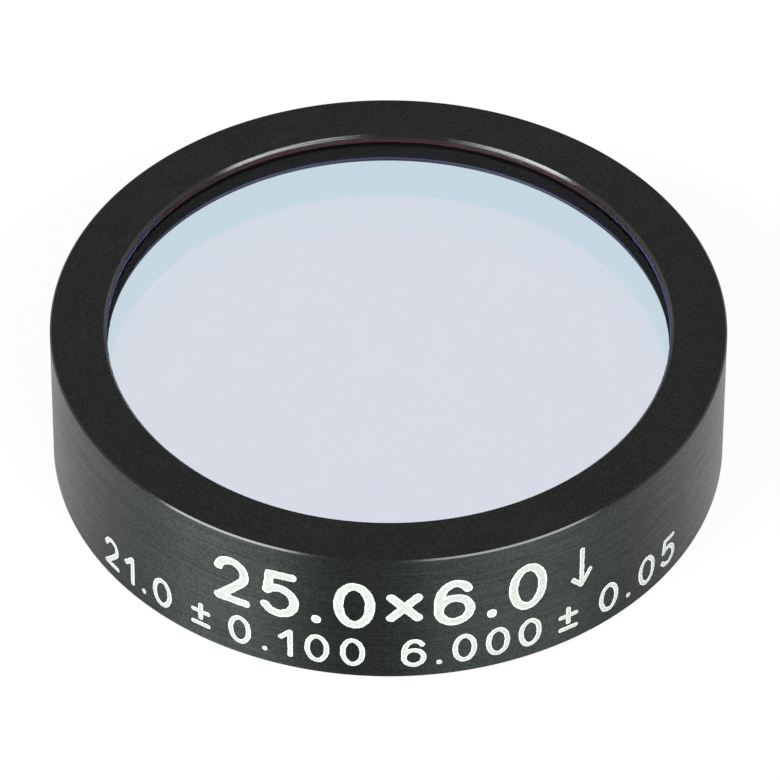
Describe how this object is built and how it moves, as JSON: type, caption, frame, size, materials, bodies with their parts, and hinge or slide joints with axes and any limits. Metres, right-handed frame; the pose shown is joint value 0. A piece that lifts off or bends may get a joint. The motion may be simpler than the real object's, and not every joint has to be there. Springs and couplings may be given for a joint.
{
  "type": "optical bandpass filter",
  "caption": "Mounted optical bandpass filter: a cemented stack of round glass plates sealed in a black anodised ring with a thin front lip and a retaining ring behind.",
  "frame": {"origin": "centre of the rear face of the housing ring, which the part lies on", "axes": "+Z along the optical axis, towards the mirror-like front side; -Y towards the marked side of the rim"},
  "size_m": [0.025, 0.025, 0.006],
  "materials": {
    "anodised": "satin black anodised, with fine turning marks",
    "coated_glass": "polished, with a coating that reflects pale cyan to lavender",
    "blocking_glass": "polished, with a blocking coating",
    "red_glass": "polished deep red long-pass glass",
    "cement": "clear optical cement",
    "sealant": "black sealant, slightly glossy",
    "engraving": "pale bare metal, where the black layer is burnt off the rim"
  },
  "bodies": {
    "root": {"housing_ring": "anodised", "retaining_ring": "anodised", "cover_glass": "coated_glass", "front_cement": "cement", "bandpass_glass": "coated_glass", "middle_cement": "cement", "blocking_glass": "blocking_glass", "rear_cement": "cement", "colour_glass": "red_glass", "edge_sealant": "sealant", "lip_bead": "sealant"}
  },
  "joints": []
}
